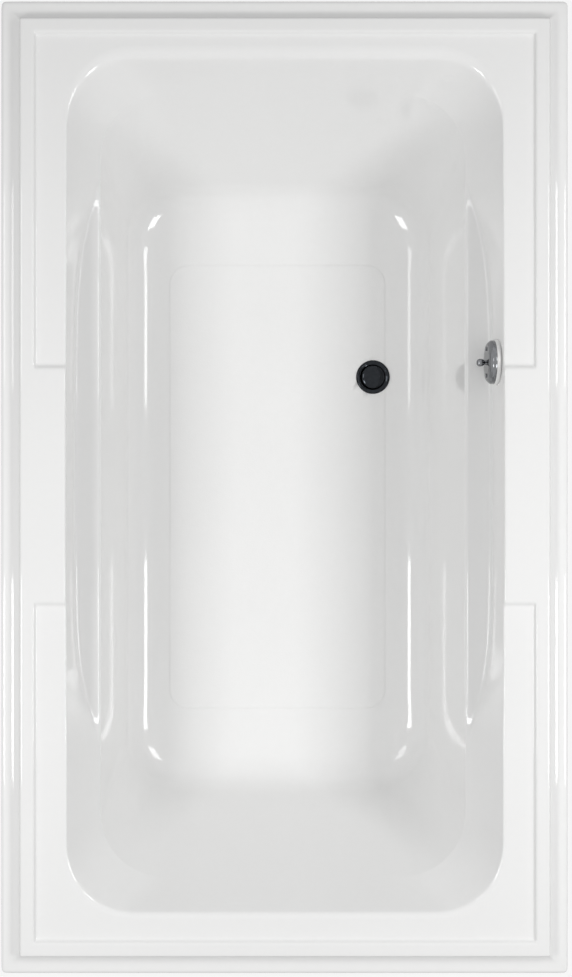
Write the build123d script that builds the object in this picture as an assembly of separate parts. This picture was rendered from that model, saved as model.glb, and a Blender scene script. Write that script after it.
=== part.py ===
from build123d import *
from math import acos, asin, atan, atan2, cos, degrees, hypot, pi, radians, sin, sqrt, tan
import os

# Drop-in soaking bath for two bathers, with a side waste and a trip-lever overflow.
# X runs across the bath, +Y is the head end, +Z is up. The origin is in the middle of the
# footprint, on the floor that the pads under the bearers stand on. Sizes are in millimetres.

# Overall rim
length = 1829.0
width = 1067.0
height = 559.0
rim_skirt = 52.0
rim_corner = 10.0

# Rim moulding, counted inwards from the outer edge
bead_drop = 22.0
bead_round = 7.0
cove_reach = 35.0
cove_land = 1.0
deck_round = 3.0
mitre_round = 2.0
recess_reach = 55.0
recess_slope = 13.0
recess_depth = 8.0
recess_end_slope = 4.0
middle_deck_head = 223.0
middle_deck_foot = 216.0

# Basin opening and floor, to the sharp corner before rounding
side_deck = 125.0
head_deck = 108.0
foot_deck = 117.0
basin_depth = 455.0
basin_corner = 125.0
floor_side_in = 110.0
floor_head_in = 180.0
floor_foot_in = 168.0
head_lip = 28.0
foot_lip = 9.0
floor_round = 62.0
floor_end_round = 85.0

# Armrest shelves, moulded into both side walls
shelf_depth = 104.0
shelf_fall = 6.0
shelf_width = 50.0
shelf_half_length = 570.0
shelf_wall_draft = 2.5
side_in_at_shelf = 54.0
shelf_back_round = 9.0
shelf_front_round = 8.0

# Slip-resistant panel, raised a hair from the floor
tread_half_width = 233.0
tread_half_length = 480.0
tread_corner = 40.0
tread_rise = 0.8

# Layers of the shell
acrylic = 4.0
laminate = 5.0
bond_gap = 0.3
skirt_trim = 4.0

# Timber
rim_board_width = 50.0
rim_board_thick = 18.0
rim_board_clear = 4.0
base_board_thick = 15.0
base_board_half_width = 236.0
base_board_half_length = 560.0
bearer_width = 38.0
bearer_length = 540.0
bearer_end_y = 430.0
bearer_middle_y = -20.0
pad_thick = 6.0
pad_length = 90.0
pad_from_end = 20.0
screw_shank = 2.4
screw_clear = 0.3
screw_head = 5.0
screw_head_thick = 3.0
screw_inset = 70.0
bearer_recess = 12.0
board_notch_clear = 4.0

# Waste, under the floor
drain_x = 207.0
drain_y = 238.0
flange_radius = 36.5
flange_rise = 4.0
flange_edge = 2.0
shell_hole = 26.0
drain_body = 24.0
drain_bore = 20.0
drain_body_length = 26.0
seat_outer = 31.0
seat_inner = 21.0
seat_fall = 3.1
spider_drop = 18.0
spider_thick = 4.0
spider_bar = 3.2
spider_hub = 6.5
drain_gasket_thick = 3.0
shoe_collar = 33.0
shoe_collar_height = 6.0
shoe_outer = 28.0
shoe_reach = 52.0
shoe_socket = 16.0
pipe_drop = 35.7
pipe_outer = 19.05
pipe_wall = 1.6
socket_depth = 25.0
fitting_wall = 4.2
thread_clear = 0.2
slide_clear = 0.3

# Stopper
cap_radius = 25.0
cap_dome = 5.0
cap_rim = 1.6
seal_ring = 22.5
seal_section = 2.0
seal_crown = 0.5
seal_skin = 0.2
stem_radius = 3.0
stem_clear = 0.08

# Overflow
overflow_drop = 62.0
overflow_hole = 30.0
pad_margin = 1.5
pad_proud = 0.5
plate_radius = 41.5
plate_face = 34.0
plate_dome = 8.0
plate_sheet = 1.6
slot_clear = 1.5
plate_screw_y = 25.5
plate_screw = 2.0
screw_cap = 4.0
screw_cap_high = 2.0
gasket_thick = 7.0
elbow_mouth = 21.0
elbow_wall = 3.0
elbow_flange = 38.0
elbow_flange_thick = 5.0
elbow_leg = 62.0
overflow_pipe_x = 456.0
tee_reach = 52.0
tee_up = 46.0
outlet_drop = 40.0
outlet_socket = 16.0
nut_outer = 30.0
nut_engage = 14.0
nut_lip = 4.0
washer_thick = 3.0

# Trip lever, linkage and rocker
lever_swing = 26.0
lever_out = 40.0
lever_in = 42.0
lever_thick = 6.0
lever_depth = 5.0
knob_radius = 7.4
pin_radius = 2.0
pin_clear = 0.06
pin_head = 3.2
pin_head_thick = 1.2
link_pin_radius = 1.8
link_pin_clear = 0.02
rod_clear = 0.05
slot_play = 0.2
bracket_sheet = 1.6
cheek_clear = 0.8
cheek_half_height = 6.0
yoke_sheet = 2.0
yoke_half_length = 6.5
yoke_hang = 14.0
rod_radius = 2.0
rod_nut = 4.2
rod_nut_high = 3.0
collar_thick = 2.0
spring_coil = 6.0
spring_wire = 0.9
spring_pitch = 6.5
spring_turns = 6
rocker_thick = 5.0
rocker_depth = 6.0
rocker_pad = 8.5
rocker_pad_thick = 2.5
rocker_inner_drop = 6.0
rocker_outer_rise = 9.0
stopper_lift = 11.0
contact_clear = 0.5
spring_gap = 1.0
stem_point = 1.8

# Levels and places that follow from the sizes above
half_width = width / 2
half_length = length / 2
deck_z = height
panel_z = deck_z - recess_depth
floor_z = panel_z - basin_depth
skirt_z = deck_z - rim_skirt
cove_round = bead_drop - deck_round - cove_land
bead_z = deck_z - bead_drop
shell_total = acrylic + bond_gap + laminate
under_floor_z = floor_z - shell_total
base_bottom_z = under_floor_z - base_board_thick
pipe_inner = pipe_outer - pipe_wall
pipe_z = under_floor_z - pipe_drop
overflow_z = deck_z - overflow_drop
overflow_y = drain_y
fitting_outer = pipe_outer + fitting_wall
socket_bore = pipe_outer + slide_clear
outlet_bore = pipe_outer + slide_clear / 2
thread_bore = drain_body + thread_clear
under_moulding = cove_reach + shell_total + rim_board_clear
board_inner_x = half_width - under_moulding - rim_board_width
board_top_z = panel_z - shell_total
screw_x = bearer_length / 2 - screw_inset
bearer_rows = (-bearer_end_y, bearer_middle_y, bearer_end_y)
elbow_bottom_z = overflow_z - elbow_leg
opening_side = half_width - side_deck
opening_head = half_length - head_deck
opening_foot = half_length - foot_deck


# Points of a corner rounded by an arc, from one tangent point to the other.
def rounded_corner(before, corner, after, radius, steps):
    into = Vector(*corner) - Vector(*before)
    out = Vector(*after) - Vector(*corner)
    turn = radians(into.get_angle(out))
    tangent = radius * tan(turn / 2)
    start = Vector(*corner) - into.normalized() * tangent
    side = out - into.normalized() * into.normalized().dot(out)
    centre = start + side.normalized() * radius
    arm = start - centre
    points = []
    for step in range(steps + 1):
        angle = turn * step / steps
        point = centre + arm * cos(angle) + into.normalized() * (radius * sin(angle))
        points.append((point.X, point.Y))
    return points


# A wall profile as (reach, depth) points: straight runs, with the inner corners rounded.
def wall_profile(corners, radii, steps):
    points = [corners[0]]
    for index, radius in enumerate(radii, start=1):
        trio = corners[index - 1 : index + 2]
        if radius:
            points += rounded_corner(*trio, radius, steps)
        else:
            points.append(corners[index])
    return points


# How far a wall reaches from the centre line at one depth.
def reach_at(profile, depth):
    for (reach_a, depth_a), (reach_b, depth_b) in zip(profile, profile[1:]):
        if depth_a - 1e-6 <= depth <= depth_b + 1e-6 and depth_b - depth_a > 1e-6:
            share = (depth - depth_a) / (depth_b - depth_a)
            return reach_a + share * (reach_b - reach_a)
    return profile[-1][0] if depth > profile[0][1] else profile[0][0]


# The four walls: side near its ends, side at mid-length with the armrest, head and foot.
def basin_profiles(steps):
    floor_side = opening_side - floor_side_in
    side_end = wall_profile(
        [
            (opening_side, 0),
            (opening_side - side_in_at_shelf, shelf_depth + shelf_fall),
            (floor_side, basin_depth),
            (0, basin_depth),
        ],
        [0, floor_round],
        steps,
    )
    shelf_back = opening_side - side_in_at_shelf + shelf_width
    side_middle = wall_profile(
        [
            (shelf_back + shelf_depth * tan(radians(shelf_wall_draft)), 0),
            (shelf_back, shelf_depth),
            (opening_side - side_in_at_shelf, shelf_depth + shelf_fall),
            (floor_side, basin_depth),
            (0, basin_depth),
        ],
        [shelf_back_round, shelf_front_round, floor_round],
        steps,
    )
    head = wall_profile(
        [
            (half_length, 0),
            (opening_head, 0),
            (opening_head - floor_head_in, basin_depth),
            (0, basin_depth),
        ],
        [head_lip, floor_end_round],
        steps,
    )[1:]
    foot = wall_profile(
        [
            (half_length, 0),
            (opening_foot, 0),
            (opening_foot - floor_foot_in, basin_depth),
            (0, basin_depth),
        ],
        [foot_lip, floor_end_round],
        steps,
    )[1:]
    return side_end, side_middle, head, foot


# One level of the basin: two bowed sides, straight ends and four round corners.
def basin_ring(depth, profiles, grow):
    side_end, side_middle, head, foot = (reach_at(p, depth) + grow for p in profiles)
    middle = max(side_middle, side_end + 0.5)
    reach = min(shelf_half_length, head - basin_corner - 2 * grow, foot - basin_corner - 2 * grow)
    reach -= 5
    bowed = []
    for side in (1, -1):
        near = (side * side_end, side * -reach)
        far = (side * side_end, side * reach)
        bowed.append(ThreePointArc(near, (side * middle, 0), far))
    foot_right = (side_end, -foot)
    head_right = (side_end, head)
    head_left = (-side_end, head)
    foot_left = (-side_end, -foot)
    outline = Wire(
        [
            Line(foot_right, bowed[0] @ 0),
            bowed[0],
            Line(bowed[0] @ 1, head_right),
            Line(head_right, head_left),
            Line(head_left, bowed[1] @ 0),
            bowed[1],
            Line(bowed[1] @ 1, foot_left),
            Line(foot_left, foot_right),
        ]
    )
    level = Face(outline)
    corners = [v for v in level.vertices() if abs(v.Y) > reach + 1]
    level = level.fillet_2d(basin_corner + grow, corners)
    return Pos(0, 0, panel_z - grow - depth) * level


# The depths at which the basin's shape is set, in five zones from lip to floor.
def basin_zones(profiles, steps):
    side_end, side_middle, head, foot = profiles
    lip_end = max(head[steps][1], foot[steps][1])
    lip = [lip_end * (step / steps) ** 2 for step in range(steps + 1)]
    shelf = [depth for _, depth in side_middle[1 : 2 * steps + 3]]
    floor_start = min(p[-1 - steps][1] for p in profiles)
    rise = basin_depth - floor_start
    floor = [floor_start + rise * sin(pi / 2 * step / steps) for step in range(steps + 1)]
    return [lip, [lip[-1], shelf[0]], shelf, [shelf[-1], floor[0]], floor]


# The basin's hollow, or the block inside its outer face when grown by a layer's thickness.
def basin_form(grow, steps):
    profiles = basin_profiles(steps)
    depths = [0.0]
    for zone in basin_zones(profiles, steps):
        depths += zone[1:]
    rings = [basin_ring(depth, profiles, grow) for depth in depths]
    return loft(rings, ruled=True)


# The opening carried straight up from the lip, past the raised middle decks.
def basin_chimney(grow, top, steps):
    ring = basin_ring(0, basin_profiles(steps), grow)
    return extrude(ring, top - (panel_z - grow))


# The side wall's distance from the centre line, at a place along it and a height.
def wall_x(y, z):
    side_end, side_middle, head, foot = basin_profiles(fine_steps)
    end = reach_at(side_end, panel_z - z)
    bow = max(reach_at(side_middle, panel_z - z) - end, 0.5)
    bend = (shelf_half_length**2 + bow**2) / (2 * bow)
    return end + bow - bend + sqrt(bend**2 - y**2)


# One level of the rim block. The bead's corners are rounded, and the moulding's are mitred.
def rim_level(reach, z, rounded):
    sides = (width - 2 * reach, length - 2 * reach)
    if not rounded:
        return Pos(0, 0, z) * Rectangle(*sides)
    return Pos(0, 0, z) * RectangleRounded(*sides, max(rim_corner - reach, mitre_round))


# The rim as a solid block, or the space under one of its layers when inset.
def rim_form(inset, bottom):
    turns = [pi / 2 * step / fine_steps for step in range(fine_steps + 1)]
    bead = [(inset, bottom)]
    for turn in turns:
        reach = bead_round * (1 - cos(turn))
        bead.append((inset + reach, bead_z - inset - bead_round * (1 - sin(turn))))
    crown = []
    for turn in turns:
        reach = cove_reach - cove_round * (1 - sin(turn))
        crown.append((inset + reach, bead_z - inset + cove_round * (1 - cos(turn))))
    for turn in turns:
        reach = cove_reach + deck_round * (1 - cos(turn))
        crown.append((inset + reach, deck_z - inset - deck_round * (1 - sin(turn))))
    form = loft([rim_level(*point, True) for point in bead], ruled=True)
    form += loft([rim_level(*point, False) for point in crown], ruled=True)
    return form - end_recess(1, inset) - end_recess(-1, inset)


# The sunken panel at one end, with sloping sides, open at the top.
def end_recess(end, inset):
    near = middle_deck_head if end > 0 else middle_deck_foot
    levels = []
    for climb in (0, 2):
        side = half_width - recess_reach - recess_slope * (1 - climb) + inset
        far = half_length - recess_reach - recess_slope * (1 - climb) + inset
        close = near + recess_end_slope * (1 - climb) - inset
        z = panel_z - inset + recess_depth * climb
        middle = end * (far + close) / 2
        levels.append(Pos(0, middle, z) * Rectangle(2 * side, far - close))
    return loft(levels, ruled=True)


# One moulded layer: the rim sheet, and the basin wall under it.
def shell_layer(start, thick, bottom, steps_in, steps_out):
    full = start + thick
    sheet = rim_form(start, bottom) - rim_form(full, bottom - 5)
    bowl = basin_form(full, steps_out) + basin_chimney(full, deck_z - start - thick / 2, steps_out)
    bowl -= end_recess(1, start)
    bowl -= end_recess(-1, start)
    hollow = basin_form(start, steps_in) + basin_chimney(start, deck_z + 5, steps_in)
    return sheet + bowl - hollow


# A round bar, or a tube when it is given a bore, from one point to another.
def bar(start, end, radius, bore=0):
    axis = Vector(*end) - Vector(*start)
    place = Plane(origin=start, z_dir=axis)
    body = Cylinder(radius, axis.length, align=(Align.CENTER, Align.CENTER, Align.MIN))
    if bore:
        body -= Cylinder(bore, axis.length, align=(Align.CENTER, Align.CENTER, Align.MIN))
    return place * body


# A box given by its limits on the three axes.
def block(x_limits, y_limits, z_limits):
    spans = [high - low for low, high in (x_limits, y_limits, z_limits)]
    centre = [(high + low) / 2 for low, high in (x_limits, y_limits, z_limits)]
    return Pos(*centre) * Box(*spans)


def drain_point(z):
    return (drain_x, drain_y, z)


def pipe_point(z):
    return (overflow_pipe_x, drain_y, z)


def overflow_point(x, y=0.0, z=0.0):
    return (x, overflow_y + y, overflow_z + z)


# The white shell with its floor panel, the flat round the overflow, and both holes.
def acrylic_shell():
    shell = shell_layer(0, acrylic, skirt_z, fine_steps, coarse_steps)
    tread = Pos(0, 0, floor_z) * RectangleRounded(
        2 * tread_half_width, 2 * tread_half_length, tread_corner
    )
    tread = extrude(tread, tread_rise)
    tread -= bar(drain_point(floor_z), drain_point(floor_z + tread_rise), flange_radius + 3)
    shell += tread
    seat = bar(overflow_point(pad_front), overflow_point(pad_front + 60), pad_radius)
    shell += seat & basin_form(acrylic, coarse_steps)
    shell -= bar(overflow_point(pad_front - 5), overflow_point(pad_front + 60), overflow_hole)
    return shell - bar(drain_point(floor_z - 20), drain_point(floor_z + 5), shell_hole)


# The glass-fibre layer sprayed on the back of the acrylic.
def fibreglass_backing():
    start = acrylic + bond_gap
    trim = skirt_z + skirt_trim
    backing = shell_layer(start, laminate, trim, coarse_steps, coarse_steps)
    seat = bar(overflow_point(pad_front), overflow_point(pad_back), pad_radius)
    backing += seat - basin_form(start, coarse_steps)
    backing -= bar(overflow_point(pad_front - 5), overflow_point(pad_back + 5), overflow_hole)
    return backing - bar(drain_point(floor_z - 20), drain_point(floor_z + 5), shell_hole)


# Timber glued under the rim, along one side or across one end.
def side_rim_board(side):
    far = half_length - under_moulding
    across = sorted([side * (half_width - under_moulding), side * board_inner_x])
    return block(across, (-far, far), (board_top_z - rim_board_thick, board_top_z))


def end_rim_board(end):
    lip = basin_profiles(coarse_steps)[2 if end > 0 else 3][0][0]
    near = lip + shell_total + rim_board_clear
    along = sorted([end * near, end * (half_length - under_moulding)])
    reach = board_inner_x - rim_board_clear
    return block((-reach, reach), along, (board_top_z - rim_board_thick, board_top_z))


# The board moulded under the floor, notched from its edge round the waste.
def base_board():
    board = block(
        (-base_board_half_width, base_board_half_width),
        (-base_board_half_length, base_board_half_length),
        (base_bottom_z, under_floor_z),
    )
    notch = shoe_collar + board_notch_clear
    board -= bar(drain_point(base_bottom_z - 1), drain_point(under_floor_z + 1), notch)
    pilot_top = base_bottom_z + base_board_thick / 2
    for y in bearer_rows:
        for x in (-screw_x, screw_x):
            board -= bar((x, y, base_bottom_z - 1), (x, y, pilot_top), screw_shank + screw_clear)
    edge = base_board_half_width + 1
    return board - block(
        (drain_x, edge), (drain_y - notch, drain_y + notch), (base_bottom_z - 1, under_floor_z + 1)
    )


# A cross bearer under the base board, counterbored from below for its screws.
def bearer(y):
    timber = block(
        (-bearer_length / 2, bearer_length / 2),
        (y - bearer_width / 2, y + bearer_width / 2),
        (pad_thick, base_bottom_z),
    )
    for x in (-screw_x, screw_x):
        timber -= bar((x, y, 0), (x, y, pad_thick + bearer_recess), screw_head + 1)
        timber -= bar((x, y, 0), (x, y, base_bottom_z + 1), screw_shank + screw_clear)
    return timber


def bearer_pads():
    pads = []
    for y in bearer_rows:
        for side in (-1, 1):
            far = side * (bearer_length / 2 - pad_from_end)
            near = far - side * pad_length
            across = (y - bearer_width / 2, y + bearer_width / 2)
            pads.append(block(sorted([near, far]), across, (0, pad_thick)))
    return Compound(pads)


# Screws driven up through the bearers, stopping short of the top of the base board.
def bearer_screws():
    screws = []
    seat = pad_thick + bearer_recess
    for y in bearer_rows:
        for x in (-screw_x, screw_x):
            tip = (x, y, base_bottom_z + base_board_thick / 2)
            screw = bar((x, y, seat), tip, screw_shank)
            screw += bar((x, y, seat - screw_head_thick), (x, y, seat), screw_head)
            screws.append(screw)
    return Compound(screws)


# The visible drain: a flange dished to a seat, a threaded body and a cross that guides the stem.
def drain_flange():
    top = floor_z + flange_rise
    bottom = floor_z - drain_body_length
    edge = flange_radius - flange_edge
    profile = Polyline(
        (drain_bore, bottom),
        (drain_body, bottom),
        (drain_body, floor_z),
        (flange_radius, floor_z),
        (flange_radius, floor_z + flange_edge / 2),
        (edge, top),
        (seat_outer, top),
        (seat_inner, top - seat_fall),
        (drain_bore, top - seat_fall),
        (drain_bore, bottom),
    )
    section = make_face(Plane.XZ * profile)
    flange = Pos(drain_x, drain_y, 0) * revolve(section, Axis.Z)
    level = floor_z - spider_drop
    span = drain_bore + 1
    half = spider_bar / 2
    height = (level, level + spider_thick)
    cross = block((drain_x - span, drain_x + span), (drain_y - half, drain_y + half), height)
    cross += block((drain_x - half, drain_x + half), (drain_y - span, drain_y + span), height)
    cross += bar(drain_point(level), drain_point(level + spider_thick), spider_hub)
    flange += cross
    return flange - bar(
        drain_point(level - 1), drain_point(level + spider_thick + 1), stem_radius + stem_clear
    )


def drain_gasket():
    low = under_floor_z - drain_gasket_thick
    return bar(drain_point(low), drain_point(under_floor_z), shoe_collar, drain_body + thread_clear)


# The shoe under the floor: it screws onto the flange and turns the water sideways.
def drain_shoe():
    top = under_floor_z - drain_gasket_thick
    end = (drain_x + shoe_reach, drain_y, pipe_z)
    shoe = bar(drain_point(pipe_z - fitting_outer), drain_point(top), shoe_outer)
    shoe += bar(drain_point(top - shoe_collar_height), drain_point(top), shoe_collar)
    shoe += bar(drain_point(pipe_z), end, fitting_outer)
    shoe -= bar(drain_point(floor_z - drain_body_length - 1), drain_point(top + 1), thread_bore)
    shoe -= bar(drain_point(pipe_z - pipe_inner), drain_point(top), drain_bore)
    shoe -= bar(drain_point(pipe_z), end, pipe_inner)
    stop = (drain_x + shoe_reach - shoe_socket, drain_y, pipe_z)
    return shoe - bar(stop, end, socket_bore)


def waste_tube():
    start = (drain_x + shoe_reach - shoe_socket, drain_y, pipe_z)
    end = (overflow_pipe_x - tee_reach + socket_depth, drain_y, pipe_z)
    return bar(start, end, pipe_outer, pipe_inner)


# The tee below the overflow: waste tube in at the side, overflow at the top, trap below.
def waste_tee():
    top = pipe_z + tee_up
    bottom = pipe_z - outlet_drop
    side = (overflow_pipe_x - tee_reach, drain_y, pipe_z)
    tee = bar(pipe_point(bottom), pipe_point(top), fitting_outer)
    tee += bar(side, pipe_point(pipe_z), fitting_outer)
    tee -= bar(pipe_point(bottom - 1), pipe_point(top + 1), pipe_inner)
    tee -= bar(side, pipe_point(pipe_z), pipe_inner)
    tee -= bar(pipe_point(top - socket_depth), pipe_point(top + 1), socket_bore)
    tee -= bar(pipe_point(bottom - 1), pipe_point(bottom + outlet_socket), outlet_bore)
    stop = (overflow_pipe_x - tee_reach + socket_depth, drain_y, pipe_z)
    return tee - bar(side, stop, socket_bore)


def overflow_tube():
    return bar(
        pipe_point(pipe_z + tee_up - socket_depth),
        pipe_point(elbow_bottom_z + socket_depth),
        pipe_outer,
        pipe_inner,
    )


# The elbow behind the overflow hole, with a flange that the two plate screws draw up.
def overflow_elbow():
    outer = elbow_mouth + elbow_wall
    roof = overflow_z + outer
    elbow = bar(overflow_point(flange_x), overflow_point(flange_back), elbow_flange)
    elbow += bar(overflow_point(flange_x), overflow_point(overflow_pipe_x), outer)
    elbow += bar(pipe_point(elbow_bottom_z), pipe_point(roof), fitting_outer)
    elbow += bar(pipe_point(overflow_z), pipe_point(roof), outer)
    elbow -= bar(overflow_point(flange_x - 1), overflow_point(overflow_pipe_x), elbow_mouth)
    elbow -= bar(pipe_point(elbow_bottom_z - 1), pipe_point(roof - elbow_wall), pipe_inner)
    elbow -= bar(pipe_point(overflow_z), pipe_point(roof - elbow_wall), elbow_mouth)
    elbow -= bar(
        pipe_point(elbow_bottom_z - 1), pipe_point(elbow_bottom_z + socket_depth), socket_bore
    )
    for side in (-1, 1):
        y = side * plate_screw_y
        start = overflow_point(flange_x - 1, y)
        elbow -= bar(start, overflow_point(screw_tip_x + 1, y), plate_screw + thread_clear)
    return elbow


def overflow_gasket():
    return bar(overflow_point(pad_back), overflow_point(flange_x), elbow_flange, overflow_hole)


# A slip nut round the end of a fitting, with a lip that presses the washer in.
def slip_nut(end, away):
    back = [e - nut_engage * a for e, a in zip(end, away)]
    front = [e + (washer_thick + nut_lip) * a for e, a in zip(end, away)]
    seat = [e + washer_thick * a for e, a in zip(end, away)]
    span = nut_engage + washer_thick + nut_lip
    place = Plane(origin=back, x_dir=(0, 1, 0), z_dir=away)
    nut = place * extrude(RegularPolygon(nut_outer, 8), span)
    nut -= bar(back, seat, fitting_outer + thread_clear)
    return nut - bar(back, front, socket_bore)


def slip_washer(end, away):
    seat = [e + washer_thick * a for e, a in zip(end, away)]
    return bar(end, seat, fitting_outer, pipe_outer + slide_clear / 3)


# The domed cover over the overflow, with a slot for the lever and two screw holes.
def overflow_plate():
    profile = Polyline(
        (0, 0),
        (plate_face, 0),
        (plate_radius - 3, plate_dome * 0.45),
        (plate_radius, plate_dome),
        (plate_radius - plate_sheet, plate_dome),
        (plate_radius - 3 - plate_sheet, plate_dome * 0.45 + plate_sheet * 0.6),
        (plate_face, plate_sheet),
        (0, plate_sheet),
        (0, 0),
    )
    section = make_face(Plane.XY * profile)
    cover = revolve(section, Axis.Y)
    place = Plane(origin=overflow_point(plate_x), x_dir=(0, 1, 0), z_dir=(0, 0, 1))
    cover = place * (Rot(0, 0, 180) * cover)
    half = lever_thick / 2 + slot_clear
    cover -= block(
        (plate_x - 1, plate_x + plate_dome),
        (overflow_y - half, overflow_y + half),
        (overflow_z - slot_half_height, overflow_z + slot_half_height),
    )
    for side in (-1, 1):
        start = overflow_point(plate_x - 1, side * plate_screw_y)
        end = overflow_point(pad_front, side * plate_screw_y)
        cover -= bar(start, end, plate_screw + screw_clear)
    return cover


def plate_screws():
    screws = []
    for y in (-plate_screw_y, plate_screw_y):
        seat = overflow_point(plate_x, y)
        screw = bar(seat, overflow_point(screw_tip_x, y), plate_screw)
        screw += bar(overflow_point(plate_x - screw_cap_high, y), seat, screw_cap)
        screws.append(screw)
    return Compound(screws)


# The bent plate behind the cover, with a window for the lever and two cheeks for its pin.
def lever_bracket():
    front = plate_x + plate_sheet
    back = front + bracket_sheet
    far = plate_screw_y + screw_cap
    inner = lever_thick / 2 + cheek_clear
    outer = inner + bracket_sheet
    window = slot_half_height
    tall = window + bracket_sheet * 2
    bracket = block(
        (front, back), (overflow_y - far, overflow_y + far), (overflow_z - tall, overflow_z + tall)
    )
    bracket -= block(
        (front - 1, back + 1),
        (overflow_y - inner, overflow_y + inner),
        (overflow_z - window, overflow_z + window),
    )
    half = cheek_half_height
    for side in (-1, 1):
        across = sorted([overflow_y + side * inner, overflow_y + side * outer])
        bracket += block((front, pivot_x), across, (overflow_z - half, overflow_z + half))
        near = overflow_point(pivot_x, side * inner)
        bracket += bar(near, overflow_point(pivot_x, side * outer), half)
        y = side * plate_screw_y
        start = overflow_point(front - 1, y)
        bracket -= bar(start, overflow_point(back + 1, y), plate_screw + screw_clear)
    reach = outer + 1
    start = overflow_point(pivot_x, -reach)
    return bracket - bar(start, overflow_point(pivot_x, reach), pin_radius + pin_clear)


def lever_pin():
    reach = lever_thick / 2 + cheek_clear + bracket_sheet
    pin = bar(overflow_point(pivot_x, -reach), overflow_point(pivot_x, reach), pin_radius)
    for side in (-1, 1):
        near = overflow_point(pivot_x, side * reach)
        far = overflow_point(pivot_x, side * (reach + pin_head_thick))
        pin += bar(near, far, pin_head)
    return pin


# A flat link between two points in the plane of the lever, with rounded ends.
def lever_limb(start, end, depth, thick):
    run = Vector(*end) - Vector(*start)
    middle = (Vector(*end) + Vector(*start)) / 2
    place = Plane(origin=middle, x_dir=run, z_dir=(0, 1, 0))
    limb = place * extrude(SlotCenterToCenter(run.length, depth), thick / 2, both=True)
    return limb


# The trip lever, drawn with its knob down: one limb out through the plate, one in to the link.
def trip_lever():
    limb = lever_limb(lever_knob, lever_tail, lever_depth, lever_thick)
    hub = lever_thick / 2
    limb += bar(overflow_point(pivot_x, -hub), overflow_point(pivot_x, hub), lever_depth)
    outward = Vector(*lever_knob) - Vector(*lever_tail)
    along = [knob_radius * share for share in (-1.6, -1, -0.7, -0.1, 0.5, 0.85, 1)]
    out = [knob_radius * share for share in (0.4, 0.5, 0.85, 1, 0.9, 0.5, 0)]
    profile = Polyline((0, along[0]), *zip(out, along), (0, along[0]))
    knob = revolve(make_face(Plane.XZ * profile), Axis.Z)
    limb += Plane(origin=lever_knob, z_dir=outward) * knob
    hole = pin_radius + pin_clear
    limb -= bar(overflow_point(pivot_x, -hub - 1), overflow_point(pivot_x, hub + 1), hole)
    near = (lever_tail[0], overflow_y - hub - 1, lever_tail[2])
    far = (lever_tail[0], overflow_y + hub + 1, lever_tail[2])
    return limb - bar(near, far, link_pin_radius + link_pin_clear)


# The pin through the lever's tail, which slides in the yoke's slots.
def link_pin():
    reach = yoke_inner + yoke_sheet + slot_play
    ends = [(lever_tail[0], overflow_y + side * reach, lever_tail[2]) for side in (-1, 1)]
    pin = bar(*ends, link_pin_radius)
    for side, end in zip((-1, 1), ends):
        head = (end[0], end[1] + side * pin_head_thick, end[2])
        pin += bar(end, head, pin_head)
    return pin


# The yoke: two slotted cheeks joined by a bridge that the rod passes through.
def link_yoke():
    top = lever_tail[2] + yoke_half_length
    bottom = lever_tail[2] - yoke_hang
    outer = yoke_inner + yoke_sheet
    sides = (overflow_pipe_x - yoke_half_length, overflow_pipe_x + yoke_half_length)
    yoke = block(sides, (overflow_y - outer, overflow_y + outer), (bottom - yoke_sheet, top))
    yoke -= block(
        (sides[0] - 1, sides[1] + 1), (overflow_y - yoke_inner, overflow_y + yoke_inner), (bottom, top + 1)
    )
    gap = link_pin_radius + slot_play
    centre = Plane(origin=(slot_x, overflow_y, lever_tail[2]), x_dir=(1, 0, 0), z_dir=(0, 1, 0))
    slot = extrude(SlotCenterToCenter(2 * slot_travel, 2 * gap), outer + 1, both=True)
    yoke -= centre * slot
    hole = (pipe_point(bottom - yoke_sheet - 1), pipe_point(bottom + 1))
    return yoke - bar(*hole, rod_radius + rod_clear)


def link_rod():
    collar = bar(pipe_point(collar_z), pipe_point(collar_z + collar_thick), spring_coil + spring_wire)
    tip = collar_z - spring_pitch
    top = lever_tail[2] - yoke_hang + rod_nut_high + 1.5
    return collar + bar(pipe_point(tip), pipe_point(top), rod_radius)


def link_nuts():
    bridge_top = lever_tail[2] - yoke_hang
    nuts = []
    for low in (bridge_top, bridge_top - yoke_sheet - rod_nut_high):
        nut = Pos(*pipe_point(low)) * extrude(RegularPolygon(rod_nut, 6), rod_nut_high)
        nut -= bar(pipe_point(low - 1), pipe_point(low + rod_nut_high + 1), rod_radius + rod_clear)
        nuts.append(nut)
    return Compound(nuts)


# The spring under the rod: one unbroken wire, swept along a helix.
def link_spring():
    run = spring_pitch * spring_turns
    path = Helix(pitch=spring_pitch, height=run, radius=spring_coil)
    section = Plane(origin=path @ 0, z_dir=path % 0) * RegularPolygon(spring_wire, 6)
    coil = sweep(section, path=path, is_frenet=True)
    return Pos(*pipe_point(spring_bottom_z + spring_wire)) * coil


# The rocker, bent at a knee that rolls on the floor of the waste tube.
def rocker_arm():
    half = rocker_thick / 2
    knee = (knee_x, overflow_y, knee_z)
    inner = (drain_x, overflow_y, rocker_inner_z - rocker_depth / 2)
    outer = (overflow_pipe_x, overflow_y, rocker_outer_z - rocker_depth / 2)
    arm = lever_limb(inner, knee, rocker_depth, rocker_thick)
    arm += lever_limb(knee, outer, rocker_depth, rocker_thick)
    arm += bar((knee_x, overflow_y - half, knee_z), (knee_x, overflow_y + half, knee_z), knee_round)
    low = rocker_outer_z - rocker_pad_thick
    arm += bar(pipe_point(low), pipe_point(rocker_outer_z), rocker_pad)
    low = rocker_inner_z - rocker_pad_thick
    return arm + bar(drain_point(low), drain_point(rocker_inner_z), stem_radius + 1.5)


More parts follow.
